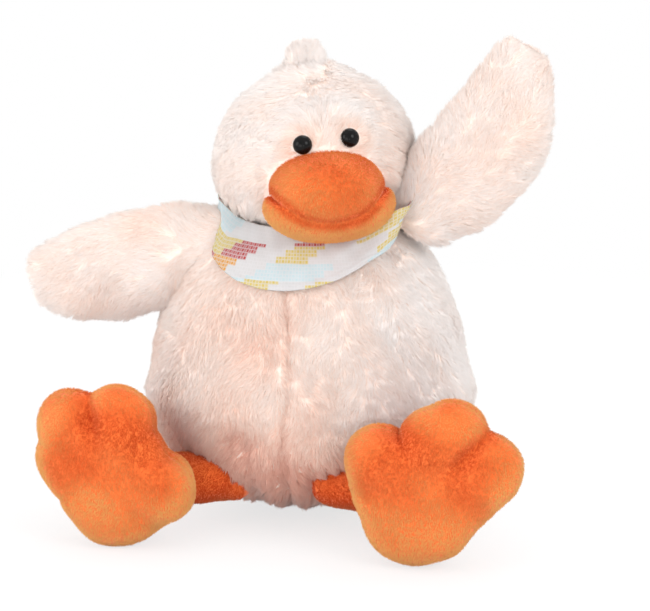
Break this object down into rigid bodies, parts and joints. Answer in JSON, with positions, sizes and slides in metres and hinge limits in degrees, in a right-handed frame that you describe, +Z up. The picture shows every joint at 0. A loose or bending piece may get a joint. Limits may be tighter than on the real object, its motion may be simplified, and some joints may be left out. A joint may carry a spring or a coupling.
{
  "type": "plush duck toy",
  "caption": "Sitting cream plush duck with a smiling orange bill, toed orange feet, one raised wing and a neckerchief; head, wings, legs and feet move.",
  "frame": {"origin": "middle of the small flat that the torso sits on, on the floor", "axes": "+Z up, the duck's belly faces -Y, its left wing points to +X"},
  "size_m": [0.2997, 0.197, 0.2738],
  "materials": {
    "cream_plush": "long soft pile",
    "orange_plush": "short pile",
    "cotton_print": "printed woven cotton",
    "filling": "polyester fibre",
    "pellets": "bag of plastic pellets",
    "eye_black": "glossy",
    "washer_white": "moulded"
  },
  "bodies": {
    "torso": {"torso_cover": "cream_plush", "torso_stuffing": "filling", "seat_pellet_bag": "pellets", "neckerchief": "cotton_print"},
    "neck": {"neck_stuffing": "filling"},
    "head": {"head_cover": "cream_plush", "head_stuffing": "filling", "crest_tuft": "cream_plush", "eye_right": "eye_black", "eye_left": "eye_black", "eye_washer_right": "washer_white", "eye_washer_left": "washer_white", "bill_upper_cover": "orange_plush", "bill_upper_stuffing": "filling", "bill_lower_cover": "orange_plush", "bill_lower_stuffing": "filling"},
    "wing_right": {"wing_right_cover": "cream_plush", "wing_right_stuffing": "filling"},
    "wing_left": {"wing_left_cover": "cream_plush", "wing_left_stuffing": "filling"},
    "leg_right": {"leg_right_cover": "orange_plush", "leg_right_stuffing": "filling"},
    "leg_left": {"leg_left_cover": "orange_plush", "leg_left_stuffing": "filling"},
    "foot_right": {"foot_right_cover": "orange_plush", "foot_right_stuffing": "filling"},
    "foot_left": {"foot_left_cover": "orange_plush", "foot_left_stuffing": "filling"}
  },
  "joints": [
    {"name": "head_turn", "type": "hinge", "parent": "torso", "child": "neck", "pos_m": [0.005, -0.01, 0.203], "axis": [0, 0, 1], "range_deg": [-44, 6]},
    {"name": "head_nod", "type": "hinge", "parent": "neck", "child": "head", "pos_m": [0.005, -0.01, 0.203], "axis": [0.9426, 0.3338, 0], "range_deg": [-18, 2]},
    {"name": "wing_right_swing", "type": "hinge", "parent": "torso", "child": "wing_right", "pos_m": [-0.055, -0.02, 0.151], "axis": [0, 1, 0], "range_deg": [-20, 74], "deforming": ["wing_right_cover"]},
    {"name": "wing_left_swing", "type": "hinge", "parent": "torso", "child": "wing_left", "pos_m": [0.066, -0.012, 0.177], "axis": [0, -1, 0], "range_deg": [-91, 3], "deforming": ["wing_left_cover"]},
    {"name": "hip_right", "type": "hinge", "parent": "torso", "child": "leg_right", "pos_m": [-0.033, -0.05, 0.027], "axis": [-0.4883, 0.8727, 0], "range_deg": [-25, 26], "deforming": ["leg_right_cover"]},
    {"name": "hip_left", "type": "hinge", "parent": "torso", "child": "leg_left", "pos_m": [0.033, -0.05, 0.027], "axis": [-0.4883, -0.8727, 0], "range_deg": [-25, 26], "deforming": ["leg_left_cover"]},
    {"name": "ankle_right", "type": "hinge", "parent": "leg_right", "child": "foot_right", "pos_m": [-0.075, -0.0735, 0.031], "axis": [1, 0, 0], "range_deg": [-8, 15]},
    {"name": "ankle_left", "type": "hinge", "parent": "leg_left", "child": "foot_left", "pos_m": [0.075, -0.0735, 0.031], "axis": [1, 0, 0], "range_deg": [-8, 15]}
  ]
}
